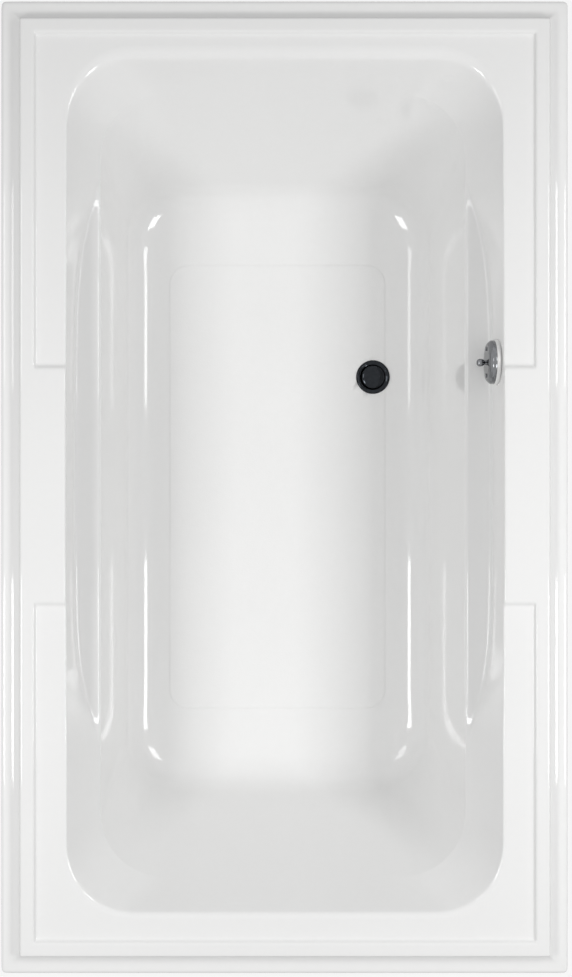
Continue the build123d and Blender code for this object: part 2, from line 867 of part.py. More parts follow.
# The stopper's cap: a shallow dome over a flat rim.
def stopper_cap():
    rim = cap_z + cap_rim
    dome = []
    for step in range(dome_steps + 1):
        turn = pi / 2 * step / dome_steps
        dome.append((cap_radius * cos(turn), rim + cap_dome * sin(turn)))
    section = make_face(Plane.XZ * Polyline((0, cap_z), (cap_radius, cap_z), *dome, (0, cap_z)))
    return Pos(drain_x, drain_y, 0) * revolve(section, Axis.Z)


# The seal under the cap: a disc with a thick rounded rim that meets the seat.
def stopper_seal():
    outline = [(stem_radius + rod_clear, cap_z)]
    outline.append((stem_radius + rod_clear, seal_z - seal_section / 4))
    for step in range(seal_sides + 1):
        turn = pi + (pi + asin(seal_crown)) * step / seal_sides
        outline.append((seal_ring + seal_section * cos(turn), seal_z + seal_section * sin(turn)))
    outline.append((seal_ring + seal_section * cos(asin(seal_crown)), cap_z))
    outline.append(outline[0])
    section = make_face(Plane.XZ * Polyline(*outline))
    return Pos(drain_x, drain_y, 0) * revolve(section, Axis.Z)


def stopper_stem():
    bottom = rocker_inner_z + contact_clear
    stem = bar(drain_point(bottom + stem_point), drain_point(cap_z), stem_radius)
    tip = Cone(stem_radius - stem_point, stem_radius, stem_point)
    return stem + Pos(*drain_point(bottom + stem_point / 2)) * tip


# Places of the mechanism, from the sizes at the top.
seal_sides = 7
dome_steps = 5
fine_steps = 4
coarse_steps = 2
pad_radius = plate_radius + pad_margin
pad_front = wall_x(overflow_y + pad_radius, overflow_z - pad_radius) - pad_proud
pad_back = wall_x(overflow_y, overflow_z + pad_radius) + shell_total + pad_proud
plate_x = pad_front - plate_dome
flange_x = pad_back + gasket_thick
flange_back = flange_x + elbow_flange_thick
screw_tip_x = flange_back - 0.5
half_swing = radians(lever_swing / 2)
travel = 2 * lever_in * sin(half_swing)
pivot_x = overflow_pipe_x - lever_in * (1 + cos(half_swing)) / 2
slot_half_height = tan(half_swing) * (pivot_x - plate_x) + lever_depth / 2 + slot_clear
lever_knob = overflow_point(pivot_x - lever_out * cos(half_swing), 0, -lever_out * sin(half_swing))
lever_tail = overflow_point(pivot_x + lever_in * cos(half_swing), 0, lever_in * sin(half_swing))
slot_travel = lever_in * (1 - cos(half_swing)) / 2 + slot_play
slot_x = pivot_x + lever_in * (1 + cos(half_swing)) / 2
yoke_inner = lever_thick / 2 + cheek_clear
knee_round = rocker_depth / 2
knee_x = drain_x + (overflow_pipe_x - drain_x) * stopper_lift / (stopper_lift + travel)
knee_z = pipe_z - pipe_inner + knee_round + contact_clear
rocker_inner_z = pipe_z - rocker_inner_drop
rocker_outer_z = pipe_z + rocker_outer_rise
spring_bottom_z = rocker_outer_z + spring_gap
collar_z = spring_bottom_z + 2 * spring_wire + spring_pitch * spring_turns
seat_slope = atan2(seat_fall, seat_outer - seat_inner)
seat_at_seal = floor_z + flange_rise - seat_fall * (seat_outer - seal_ring) / (seat_outer - seat_inner)
seal_z = seat_at_seal + seal_section / cos(seat_slope) + contact_clear
cap_z = seal_z + seal_section * seal_crown + seal_skin

pieces = {
    "acrylic_shell": acrylic_shell,
    "fibreglass_backing": fibreglass_backing,
    "rim_board_left": lambda: side_rim_board(-1),
    "rim_board_right": lambda: side_rim_board(1),
    "rim_board_head": lambda: end_rim_board(1),
    "rim_board_foot": lambda: end_rim_board(-1),
    "base_board": base_board,
    "bearer_head": lambda: bearer(bearer_rows[2]),
    "bearer_middle": lambda: bearer(bearer_rows[1]),
    "bearer_foot": lambda: bearer(bearer_rows[0]),
    "bearer_pads": bearer_pads,
    "bearer_screws": bearer_screws,
    "drain_flange": drain_flange,
    "drain_gasket": drain_gasket,
    "drain_shoe": drain_shoe,
    "waste_tube": waste_tube,
    "waste_tee": waste_tee,
    "overflow_tube": overflow_tube,
    "overflow_elbow": overflow_elbow,
    "overflow_gasket": overflow_gasket,
    "branch_nut": lambda: slip_nut(branch_end, (-1, 0, 0)),
    "lower_nut": lambda: slip_nut(pipe_point(pipe_z + tee_up), (0, 0, 1)),
    "upper_nut": lambda: slip_nut(pipe_point(elbow_bottom_z), (0, 0, -1)),
    "branch_washer": lambda: slip_washer(branch_end, (-1, 0, 0)),
    "lower_washer": lambda: slip_washer(pipe_point(pipe_z + tee_up), (0, 0, 1)),
    "upper_washer": lambda: slip_washer(pipe_point(elbow_bottom_z), (0, 0, -1)),
    "overflow_plate": overflow_plate,
    "plate_screws": plate_screws,
    "lever_bracket": lever_bracket,
    "lever_pin": lever_pin,
    "trip_lever": trip_lever,
    "link_pin": link_pin,
    "link_yoke": link_yoke,
    "link_rod": link_rod,
    "link_nuts": link_nuts,
    "link_spring": link_spring,
    "rocker_arm": rocker_arm,
    "stopper_cap": stopper_cap,
    "stopper_seal": stopper_seal,
    "stopper_stem": stopper_stem,
}
branch_end = (overflow_pipe_x - tee_reach, drain_y, pipe_z)

os.makedirs("parts", exist_ok=True)
for name, make in pieces.items():
    shape = make()
    export_step(shape, f"parts/{name}.step")
    box = shape.bounding_box()
    print(name, len(shape.solids()), round(shape.volume), box.min, box.max)

print("pivot", pivot_x, overflow_y, overflow_z, "travel", travel)
print("knee", knee_x, knee_z, "tilt", degrees(asin(travel / (overflow_pipe_x - knee_x))))
print("spring gap between turns", spring_pitch * cos(atan(spring_pitch / (2 * pi * spring_coil))) - 2 * spring_wire)
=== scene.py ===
from math import copysign, cos, pi, radians, sin, tan

import bmesh
import bpy
from mathutils import Matrix, Vector


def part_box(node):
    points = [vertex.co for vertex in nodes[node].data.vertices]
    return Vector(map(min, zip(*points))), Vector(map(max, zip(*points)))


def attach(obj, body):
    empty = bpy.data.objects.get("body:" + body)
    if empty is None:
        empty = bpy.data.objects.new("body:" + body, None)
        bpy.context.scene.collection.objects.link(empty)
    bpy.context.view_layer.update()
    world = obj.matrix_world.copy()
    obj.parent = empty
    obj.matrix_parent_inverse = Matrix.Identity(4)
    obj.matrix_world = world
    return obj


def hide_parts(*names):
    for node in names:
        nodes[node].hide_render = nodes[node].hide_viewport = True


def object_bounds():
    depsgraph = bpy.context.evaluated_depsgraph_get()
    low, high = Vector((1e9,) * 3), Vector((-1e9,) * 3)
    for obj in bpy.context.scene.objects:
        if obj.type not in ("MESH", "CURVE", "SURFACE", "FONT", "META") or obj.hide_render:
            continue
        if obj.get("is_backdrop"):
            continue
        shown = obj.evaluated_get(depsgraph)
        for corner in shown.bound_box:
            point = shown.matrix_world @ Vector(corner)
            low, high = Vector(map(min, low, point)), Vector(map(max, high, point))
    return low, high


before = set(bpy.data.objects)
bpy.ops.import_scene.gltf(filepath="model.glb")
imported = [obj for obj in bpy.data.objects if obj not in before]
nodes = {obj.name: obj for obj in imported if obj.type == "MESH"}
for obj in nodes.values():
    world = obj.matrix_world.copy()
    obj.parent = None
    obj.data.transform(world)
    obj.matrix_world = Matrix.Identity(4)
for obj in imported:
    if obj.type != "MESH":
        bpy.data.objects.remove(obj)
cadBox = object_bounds()
print("frame loaded")


# Scene level and camera, placed where the photograph was taken from.
def setScene():
    look = dict(
        height=2.84,
        x=-0.102,
        y=0.005,
        lens=56.15,
        sensor=36,
        shiftX=0.057,
        shiftY=-0.004,
        farthest=60,
    )
    scene = bpy.context.scene
    scene.view_settings.view_transform = "Standard"
    lensData = bpy.data.cameras.new("photoCamera")
    lensData.lens = look["lens"]
    lensData.sensor_width = look["sensor"]
    lensData.shift_x = look["shiftX"]
    lensData.shift_y = look["shiftY"]
    lensData.clip_end = look["farthest"]
    camera = bpy.data.objects.new("photoCamera", lensData)
    camera.location = (look["x"], look["y"], shape["deck"] + look["height"])
    scene.collection.objects.link(camera)
    scene.camera = camera


# Node helpers: a group with named sockets, and the nodes that most groups share.
def newGroup(name, inputs, outputs):
    tree = bpy.data.node_groups.new(name, "ShaderNodeTree")
    for label, kind, value in inputs:
        socket = tree.interface.new_socket(label, in_out="INPUT", socket_type=kind)
        if value is not None:
            socket.default_value = value
    for label, kind in outputs:
        tree.interface.new_socket(label, in_out="OUTPUT", socket_type=kind)
    source = tree.nodes.new("NodeGroupInput")
    target = tree.nodes.new("NodeGroupOutput")
    return tree, source, target


def addNode(tree, kind, inputs=(), **settings):
    node = tree.nodes.new(kind)
    for key, value in settings.items():
        setattr(node, key, value)
    for key, value in dict(inputs).items():
        if isinstance(value, bpy.types.NodeSocket):
            tree.links.new(value, node.inputs[key])
        else:
            node.inputs[key].default_value = value
    return node


def ramp(tree, value, stops):
    node = addNode(tree, "ShaderNodeValToRGB", {"Fac": value})
    band = node.color_ramp
    while len(band.elements) < len(stops):
        band.elements.new(0.5)
    for element, (place, shade) in zip(band.elements, stops):
        element.position = place
        element.color = (*shade, 1) if len(shade) == 3 else shade
    return node.outputs["Color"]


def compute(tree, operation, *values):
    return addNode(tree, "ShaderNodeMath", dict(enumerate(values)), operation=operation).outputs[0]


def addNoise(tree, place, scale, detail):
    inputs = {"Vector": place, "Scale": scale, "Detail": detail}
    return addNode(tree, "ShaderNodeTexNoise", inputs)


def addBump(tree, height, distance, strength, base=None):
    inputs = {"Height": height, "Distance": distance, "Strength": strength}
    if base is not None:
        inputs["Normal"] = base
    return addNode(tree, "ShaderNodeBump", inputs).outputs[0]


def mapRange(tree, value, low, high):
    node = addNode(tree, "ShaderNodeMapRange", {"Value": value, "To Min": low, "To Max": high})
    return node.outputs[0]


# Links results to a node's sockets. An underscore stands for the space in a socket's name.
def connect(tree, node, **results):
    for key, result in results.items():
        tree.links.new(result, node.inputs[key.replace("_", " ")])


figureOutputs = [
    ("Color", "NodeSocketColor"),
    ("Mask", "NodeSocketFloat"),
    ("Normal", "NodeSocketVector"),
]


# Fine unevenness for moulded, cast and rolled surfaces.
def grainGroup():
    inputs = [
        ("Scale", "NodeSocketFloat", 60.0),
        ("Fine Scale", "NodeSocketFloat", 600.0),
        ("Height", "NodeSocketFloat", 0.0002),
    ]
    outputs = [("Value", "NodeSocketFloat"), ("Normal", "NodeSocketVector")]
    tree, source, target = newGroup("surfaceGrain", inputs, outputs)
    place = addNode(tree, "ShaderNodeTexCoord").outputs["Object"]
    broad = addNoise(tree, place, source.outputs["Scale"], 3.0).outputs[0]
    fine = addNoise(tree, place, source.outputs["Fine Scale"], 2.0).outputs[0]
    value = compute(tree, "MULTIPLY", compute(tree, "ADD", broad, fine), 0.5)
    normal = addBump(tree, value, source.outputs["Height"], 1.0)
    connect(tree, target, Value=value, Normal=normal)
    return tree


# Growth rings seen along a board, with the grain running along one axis.
def woodGroup():
    inputs = [
        ("Stretch", "NodeSocketVector", (30.0, 2.0, 30.0)),
        ("Light", "NodeSocketColor", (0.6, 0.4, 0.22, 1)),
        ("Dark", "NodeSocketColor", (0.38, 0.22, 0.1, 1)),
    ]
    tree, source, target = newGroup("woodFigure", inputs, figureOutputs)
    place = addNode(tree, "ShaderNodeTexCoord").outputs["Object"]
    stretch = {0: place, 1: source.outputs["Stretch"]}
    long = addNode(tree, "ShaderNodeVectorMath", stretch, operation="MULTIPLY").outputs[0]
    wander = addNoise(tree, long, 0.8, 4.0).outputs[0]
    rings = addNode(
        tree,
        "ShaderNodeTexWave",
        {"Vector": long, "Scale": 1.3, "Distortion": 5.0, "Detail": 3.0},
        wave_type="RINGS",
        rings_direction="Y",
    )
    mask = compute(tree, "MULTIPLY", rings.outputs[1], wander)
    tones = {0: mask, 6: source.outputs["Light"], 7: source.outputs["Dark"]}
    shade = addNode(tree, "ShaderNodeMix", tones, data_type="RGBA").outputs[2]
    connect(tree, target, Color=shade, Mask=mask, Normal=addBump(tree, mask, 0.0004, 0.5))
    return tree


# Chopped strands lying every way in resin, from stretched cells turned by noise.
def strandGroup():
    inputs = [("Scale", "NodeSocketFloat", 90.0)]
    tree, source, target = newGroup("choppedStrand", inputs, figureOutputs)
    place = addNode(tree, "ShaderNodeTexCoord").outputs["Object"]
    drift = {0: 0.12, 4: place, 5: addNoise(tree, place, 25.0, 2.0).outputs["Color"]}
    swirl = addNode(tree, "ShaderNodeMix", drift, data_type="VECTOR").outputs[1]
    layers = []
    for stretch in ((1.0, 0.12, 0.6), (0.12, 1.0, 0.6), (0.5, 0.5, 0.12)):
        turn = {0: swirl, 1: stretch}
        long = addNode(tree, "ShaderNodeVectorMath", turn, operation="MULTIPLY").outputs[0]
        cell = {"Vector": long, "Scale": source.outputs["Scale"]}
        cells = addNode(tree, "ShaderNodeTexVoronoi", cell, feature="F1")
        layers.append(cells.outputs["Distance"])
    least = compute(tree, "MINIMUM", compute(tree, "MINIMUM", layers[0], layers[1]), layers[2])
    tones = [(0.0, (0.62, 0.6, 0.45)), (0.35, (0.5, 0.47, 0.32)), (0.8, (0.36, 0.33, 0.2))]
    lumps = addNoise(tree, place, 40.0, 3.0).outputs[0]
    normal = addBump(tree, compute(tree, "ADD", least, lumps), 0.0015, 0.8)
    connect(tree, target, Color=ramp(tree, least, tones), Mask=least, Normal=normal)
    return tree


# Small raised pips inside the floor panel's outline, none elsewhere.
def treadGroup():
    settings = dict(reach=(0.231, 0.478), top=0.0985, scale=420.0, height=0.0003, strength=0.6)
    tree, source, target = newGroup(
        "treadPips",
        [("Base Normal", "NodeSocketVector", None)],
        [("Mask", "NodeSocketFloat"), ("Normal", "NodeSocketVector")],
    )
    place = addNode(tree, "ShaderNodeTexCoord").outputs["Object"]
    split = addNode(tree, "ShaderNodeSeparateXYZ", {0: place}).outputs
    inside = compute(tree, "LESS_THAN", split[2], settings["top"])
    for axis, reach in enumerate(settings["reach"]):
        away = compute(tree, "ABSOLUTE", split[axis])
        inside = compute(tree, "MULTIPLY", inside, compute(tree, "LESS_THAN", away, reach))
    pips = addNoise(tree, place, settings["scale"], 1.0).outputs[0]
    height = compute(tree, "MULTIPLY", inside, pips)
    base = source.outputs[0]
    normal = addBump(tree, height, settings["height"], settings["strength"], base)
    connect(tree, target, Mask=inside, Normal=normal)
    return tree


def newMaterial(name):
    material = bpy.data.materials.new(name)
    material.use_nodes = True
    tree = material.node_tree
    tree.nodes.clear()
    shader = tree.nodes.new("ShaderNodeBsdfPrincipled")
    output = tree.nodes.new("ShaderNodeOutputMaterial")
    tree.links.new(shader.outputs[0], output.inputs["Surface"])
    return material, tree, shader


def addGroup(tree, group, **inputs):
    settings = {key.replace("_", " "): value for key, value in inputs.items()}
    return addNode(tree, "ShaderNodeGroup", settings, node_tree=group).outputs


grain = grainGroup()
wood = woodGroup()
strand = strandGroup()
tread = treadGroup()


def acrylicMaterial():
    settings = dict(scale=7.0, fineScale=90.0, height=0.00003, rough=0.07, treadRough=0.26)
    material, tree, shader = newMaterial("whiteAcrylic")
    base = addGroup(
        tree,
        grain,
        Scale=settings["scale"],
        Fine_Scale=settings["fineScale"],
        Height=settings["height"],
    )
    pips = addGroup(tree, tread, Base_Normal=base["Normal"])
    shade = ramp(tree, base["Value"], [(0.2, (0.865, 0.865, 0.86)), (0.8, (0.885, 0.885, 0.88))])
    rough = mapRange(tree, pips["Mask"], settings["rough"], settings["treadRough"])
    connect(tree, shader, Base_Color=shade, Roughness=rough, Normal=pips["Normal"])
    shader.inputs["IOR"].default_value = 1.49
    return material


def fibreMaterial():
    material, tree, shader = newMaterial("glassFibre")
    group = addGroup(tree, strand, Scale=90.0)
    rough = mapRange(tree, group["Mask"], 0.3, 0.6)
    connect(tree, shader, Base_Color=group["Color"], Roughness=rough, Normal=group["Normal"])
    return material


def woodMaterial(name, stretch, light, dark):
    material, tree, shader = newMaterial(name)
    group = addGroup(tree, wood, Stretch=stretch, Light=(*light, 1), Dark=(*dark, 1))
    rough = mapRange(tree, group["Mask"], 0.55, 0.75)
    connect(tree, shader, Base_Color=group["Color"], Roughness=rough, Normal=group["Normal"])
    return material


def metalMaterial(name, dull, bright, rough, height=0.00002, scale=200.0):
    material, tree, shader = newMaterial(name)
    group = addGroup(tree, grain, Scale=scale, Fine_Scale=scale * 8, Height=height)
    shade = ramp(tree, group["Value"], [(0.3, dull), (0.7, bright)])
    rough = mapRange(tree, group["Value"], rough * 0.8, rough * 1.3)
    connect(tree, shader, Base_Color=shade, Roughness=rough, Normal=group["Normal"])
    shader.inputs["Metallic"].default_value = 1.0
    return material


def rubberMaterial():
    material, tree, shader = newMaterial("blackRubber")
    group = addGroup(tree, grain, Scale=150.0, Fine_Scale=1500.0, Height=0.0001)
    tones = [(0.3, (0.018, 0.018, 0.018)), (0.7, (0.035, 0.035, 0.036))]
    shade = ramp(tree, group["Value"], tones)
    rough = mapRange(tree, group["Value"], 0.5, 0.75)
    connect(tree, shader, Base_Color=shade, Roughness=rough, Normal=group["Normal"])
    return material


pine = dict(light=(0.62, 0.42, 0.22), dark=(0.4, 0.23, 0.1))
materials = dict(
    acrylic=acrylicMaterial(),
    fibre=fibreMaterial(),
    woodAlongY=woodMaterial("pineAlongY", (26.0, 1.6, 26.0), **pine),
    woodAlongX=woodMaterial("pineAlongX", (1.6, 26.0, 26.0), **pine),
    board=woodMaterial("resinBoard", (40.0, 40.0, 40.0), (0.5, 0.36, 0.2), (0.36, 0.24, 0.12)),
    # Chrome's colour is darkened below real chrome's as a painted reflection: it stands in for the
    # darker surroundings that the cover, lever and screws would mirror.
    chrome=metalMaterial("chromeDimmedAsPaintedReflection", (0.17, 0.175, 0.185), (0.25, 0.255, 0.265), 0.07),
    # The drain's metal colour is near black as a painted reflection: it stands in for the dark
    # surroundings that the drain ring and stopper dome mirror.
    chromePaintedDarkReflection=metalMaterial("chromePaintedDarkReflection", (0.018, 0.02, 0.023), (0.032, 0.035, 0.039), 0.06),
    brass=metalMaterial("plainBrass", (0.52, 0.37, 0.14), (0.72, 0.54, 0.24), 0.28, 0.0001, 90.0),
    steel=metalMaterial("zincSteel", (0.5, 0.51, 0.53), (0.66, 0.67, 0.69), 0.32, 0.0001, 120.0),
    rubber=rubberMaterial(),
)
print("materials made")


# The shell's sizes in metres. A reach is a distance from the middle or in from the rim, and a
# depth is measured down from the sunken panels.
shape = dict(
    halfWidth=0.5335,
    halfLength=0.9145,
    deck=0.559,
    panel=0.551,
    skirt=0.507,
    outerRound=0.010,
    underBead=0.526,
    bead=0.537,
    beadRound=0.007,
    beadFlat=(0.010, 0.0145),
    coveReach=0.039,
    coveRound=0.018,
    crownRound=0.003,
    recessReach=0.060,
    recessSlope=0.013,
    recessDepth=0.008,
    middleHead=0.223,
    middleFoot=0.216,
    sideReach=0.4085,
    headReach=0.8065,
    footReach=0.7975,
    floorDepth=0.455,
    sideIn=0.054,
    floorSideIn=0.091,
    floorHeadIn=0.180,
    floorFootIn=0.168,
    shelfDepth=0.104,
    shelfFall=0.006,
    shelfWidth=0.050,
    shelfHead=0.585,
    shelfFoot=0.480,
    bowPower=6,
    bowFade=1.25,
    shelfDraft=2.5,
    backRound=0.009,
    frontRound=0.008,
    corner=0.125,
    sideLip=0.004,
    headLip=0.028,
    footLip=0.014,
    sideFloorRound=0.060,
    endFloorRound=0.085,
    treadX=0.233,
    treadY=0.480,
    treadRound=0.040,
    treadRise=0.0008,
    rungBow=0.014,
    stepTop=0.002,
    stepFade=0.035,
    heldSpan=0.24,
    upperDepths=(0.034, 0.05, 0.066, 0.082, 0.091),
    lowerDepths=(0.122, 0.14, 0.17, 0.21, 0.25, 0.29, 0.33, 0.36, 0.38),
)


# Points round a fillet at a corner of a profile.
def roundedCorner(before, corner, after, radius, steps):
    into = (Vector(corner) - Vector(before)).normalized()
    away = (Vector(after) - Vector(corner)).normalized()
    turn = into.angle(away)
    start = Vector(corner) - into * radius * tan(turn / 2)
    side = (away - into * into.dot(away)).normalized()
    centre = start + side * radius
    points = []
    for step in range(steps + 1):
        angle = turn * step / steps
        point = centre - side * radius * cos(angle) + into * radius * sin(angle)
        points.append((point.x, point.y))
    return points


# A profile's reach at a depth, between the points that it is given by.
def reachAt(line, depth):
    for (reachA, depthA), (reachB, depthB) in zip(line, line[1:]):
        if depthA <= depth <= depthB and depthB > depthA:
            return reachA + (reachB - reachA) * (depth - depthA) / (depthB - depthA)
    return line[-1][0]


# The four wall profiles with the same number of rows, so that they can be blended.
def wallRows(lipSteps=5, shelfSteps=4, floorSteps=9):
    s = shape
    floorSide = s["sideReach"] - s["floorSideIn"]
    shelfFront = s["sideReach"] - s["sideIn"]
    shelfBack = shelfFront + s["shelfWidth"]
    backTop = shelfBack + s["shelfDepth"] * tan(radians(s["shelfDraft"]))
    frontDepth = s["shelfDepth"] + s["shelfFall"]
    endLine = [(s["sideReach"], 0), (shelfFront, frontDepth), (floorSide, s["floorDepth"])]
    headLine = [(s["headReach"], 0), (s["headReach"] - s["floorHeadIn"], s["floorDepth"])]
    footLine = [(s["footReach"], 0), (s["footReach"] - s["floorFootIn"], s["floorDepth"])]
    backLine = [(backTop, 0), (shelfBack, s["shelfDepth"]), (shelfFront, frontDepth)]
    back = roundedCorner(*backLine, s["backRound"], shelfSteps)
    front = roundedCorner(*backLine[1:], endLine[-1], s["frontRound"], shelfSteps)
    middle = [(reachAt(backLine, depth), depth) for depth in s["upperDepths"]]
    middle += back
    for share in (0.25, 0.5, 0.75):
        middle.append(tuple(Vector(back[-1]).lerp(Vector(front[0]), share)))
    middle += front
    middle += [(reachAt(endLine, depth), depth) for depth in s["lowerDepths"]]

    def wholeWall(line, lipRound, floorRound):
        lip = roundedCorner((line[0][0] + 1, 0), line[0], line[1], lipRound, lipSteps)
        wall = [(reachAt(line, depth), depth) for _, depth in middle]
        floor = roundedCorner(line[-2], line[-1], (0, s["floorDepth"]), floorRound, floorSteps)
        return lip + wall + floor

    sideEnd = wholeWall(endLine, s["sideLip"], s["sideFloorRound"])
    lip = roundedCorner((backTop + 1, 0), (backTop, 0), middle[0], s["sideLip"], lipSteps)
    sideMiddle = lip + middle + sideEnd[-floorSteps - 1 :]
    head = wholeWall(headLine, s["headLip"], s["endFloorRound"])
    foot = wholeWall(footLine, s["footLip"], s["endFloorRound"])
    return sideEnd, sideMiddle, head, foot


sideStations = [0.03, 0.06, 0.12, 0.17, 0.205, 0.2185, 0.2315, 0.25, 0.29, 0.335, 0.38, 0.425]
sideStations += [0.47, 0.51, 0.545, 0.58, 0.615, 0.65]
endStations = [-0.8, -0.6, -0.4, -0.2, 0.0, 0.2, 0.4, 0.6, 0.8]
mitreGaps = [0.15, 0.09, 0.045, 0.016, 0.004]
cornerSteps = 10
edgeSpan = (0.15, 0.4)
edgePair = (-0.0005, 0.0045)


# Stations along a side, foot to head, with a pair at each edge of the middle deck.
def stationsAlong():
    head = shape["middleHead"]
    ends = []
    for edge in (shape["middleFoot"], head):
        run = [edge + away for away in edgePair]
        for value in sideStations:
            nearEdge = edgeSpan[0] < value < edgeSpan[1]
            run.append(value + (edge - head) if nearEdge else value)
        ends.append(sorted(run))
    return [-value for value in reversed(ends[0])] + ends[1]


# Where a station lies on a side: held near the middle, then spread out to the corner's start.
def alongSide(station, cornerStart):
    held = shape["heldSpan"]
    if abs(station) <= held:
        return station
    far = shape["headReach" if station > 0 else "footReach"] - shape["corner"]
    share = (abs(station) - held) / (far - held)
    return copysign(held + share * (cornerStart - held), station)


def onMiddleDeck(station):
    return -shape["middleFoot"] <= station <= shape["middleHead"]


def smooth(value):
    value = min(max(value, 0.0), 1.0)
    return value * value * (3 - 2 * value)


# How far one armrest is carved at a place along the side: full in the middle, none at its tips.
def bowShare(y):
    half = shape["shelfHead" if y > 0 else "shelfFoot"]
    return max(0.0, 1 - (abs(y) / half) ** shape["bowPower"]) ** shape["bowFade"]


# One closed row of points round the bath, given each side's reach and depth.
def basinRow(stations, sideEnd, sideMiddle, head, foot, radius, grow):
    s = shape
    top = s["panel"] - grow
    points = []

    def addSide(sign, station):
        end = head if station > 0 else foot
        y = alongSide(station, end[0] - radius)
        share = bowShare(y)
        x = sideEnd[0] + (sideMiddle[0] - sideEnd[0]) * share
        depth = sideEnd[1] + (sideMiddle[1] - sideEnd[1]) * share
        lift = 0.0
        if onMiddleDeck(station):
            lift = s["recessDepth"] * (1 - smooth((depth - s["stepTop"]) / s["stepFade"]))
        points.append(Vector((sign * (x + grow), y, top - depth + lift)))

    def addCorner(signX, signY, end, steps):
        for step in steps:
            turn = pi / 2 * step / cornerSteps
            x = sideEnd[0] - radius + (radius + grow) * cos(turn)
            y = end[0] - radius + (radius + grow) * sin(turn)
            depth = sideEnd[1] + (end[1] - sideEnd[1]) * smooth(step / cornerSteps)
            points.append(Vector((signX * x, signY * y, top - depth)))

    def addEnd(sign, end, shares):
        for share in shares:
            x = share * (sideEnd[0] - radius)
            points.append(Vector((x, sign * (end[0] + grow), top - end[1])))

    steps = range(cornerSteps + 1)
    for station in stations:
        addSide(1, station)
    addCorner(1, 1, head, steps)
    addEnd(1, head, reversed(endStations))
    addCorner(-1, 1, head, reversed(steps))
    for station in reversed(stations):
        addSide(-1, station)
    addCorner(-1, -1, foot, steps)
    addEnd(-1, foot, endStations)
    addCorner(1, -1, foot, reversed(steps))
    return points


# One closed row round the rectangular rim, with its points gathered at the mitres.
def rimRow(stations, reach, level, radius=0.0, drop=0.0):
    x = shape["halfWidth"] - reach
    y = shape["halfLength"] - reach
    low = level - drop
    corner = [(0.0, -gap) for gap in mitreGaps] + [(0.0, 0.0)]
    corner += [(-gap, 0.0) for gap in reversed(mitreGaps)]
    if radius:
        for index in range(5):
            turn = pi / 2 * index / 4
            corner[3 + index] = (-radius * (1 - cos(turn)), -radius * (1 - sin(turn)))
    points = []

    def addSide(sign, station):
        height = level if onMiddleDeck(station) else low
        points.append(Vector((sign * x, alongSide(station, y - mitreGaps[0]), height)))

    def addCorner(signX, signY, offsets):
        for dx, dy in offsets:
            points.append(Vector((signX * (x + dx), signY * (y + dy), low)))

    def addEnd(sign, shares):
        for share in shares:
            points.append(Vector((share * (x - mitreGaps[0]), sign * y, low)))

    for station in stations:
        addSide(1, station)
    addCorner(1, 1, corner)
    addEnd(1, reversed(endStations))
    addCorner(-1, 1, reversed(corner))
    for station in reversed(stations):
        addSide(-1, station)
    addCorner(-1, -1, corner)
    addEnd(-1, endStations)
    addCorner(1, -1, reversed(corner))
    return points


# The rows of one layer of the shell, from the foot of the skirt to the floor's edge.
def shellRows(stations, grow, skirt):
    s = shape
    rows = []

    def addRim(reach, level, radius=0.0, drop=0.0):
        rows.append(rimRow(stations, grow + reach, level - grow, radius, drop))

    for level in (skirt, skirt + 0.001, skirt + 0.004, s["underBead"] - grow):
        rows.append(rimRow(stations, grow, level, s["outerRound"]))
    for step in range(1, 5):
        turn = pi / 2 * step / 4
        reach = s["beadRound"] * (1 - cos(turn))
        level = s["bead"] - s["beadRound"] * (1 - sin(turn))
        addRim(reach, level, max(s["outerRound"] - reach, 0.003))
    for reach in s["beadFlat"]:
        addRim(reach, s["bead"])
    for step in range(7):
        turn = pi / 2 * step / 6
        reach = s["coveReach"] - s["coveRound"] * (1 - sin(turn))
        addRim(reach, s["bead"] + s["coveRound"] * (1 - cos(turn)))
    for step in range(1, 4):
        turn = pi / 2 * step / 3
        reach = s["coveReach"] + s["crownRound"] * (1 - cos(turn))
        addRim(reach, s["deck"] - s["crownRound"] * (1 - sin(turn)))
    # Where the rim steps down inwards, a layer underneath lies further out, not further in.
    crownStart = s["coveReach"] + s["crownRound"]
    crownEnd = s["recessReach"] - 2 * grow
    for share in (0.2, 0.6, 0.93, 1.0):
        addRim(crownStart + (crownEnd - crownStart) * share, s["deck"])
    ogee = [(0.2, 0.03), (0.36, 0.14), (0.45, 0.34), (0.55, 0.66), (0.64, 0.86), (0.8, 0.97)]
    ogee += [(1.0, 1.0), (1.12, 1.0), (1.24, 1.0)]
    for share, fall in ogee:
        reach = crownEnd + s["recessSlope"] * share
        addRim(reach, s["deck"], drop=s["recessDepth"] * fall)
    walls = wallRows()
    lipRows = []
    for away in (0.009, 0.005, 0.002):
        tops = [(wall[0][0] + away * part, 0) for wall, part in zip(walls, (1, 1, 0.5, 1))]
        lipRows.append(basinRow(stations, *tops, s["corner"] + away, grow))
    between = [flat.lerp(lip, 0.5) for flat, lip in zip(rows[-1], lipRows[0])]
    for point, lip in zip(between, lipRows[0]):
        point.z = lip.z
    rows.append(between)
    rows += lipRows
    for ends in zip(*walls):
        rows.append(basinRow(stations, *ends, s["corner"], grow))
    return rows


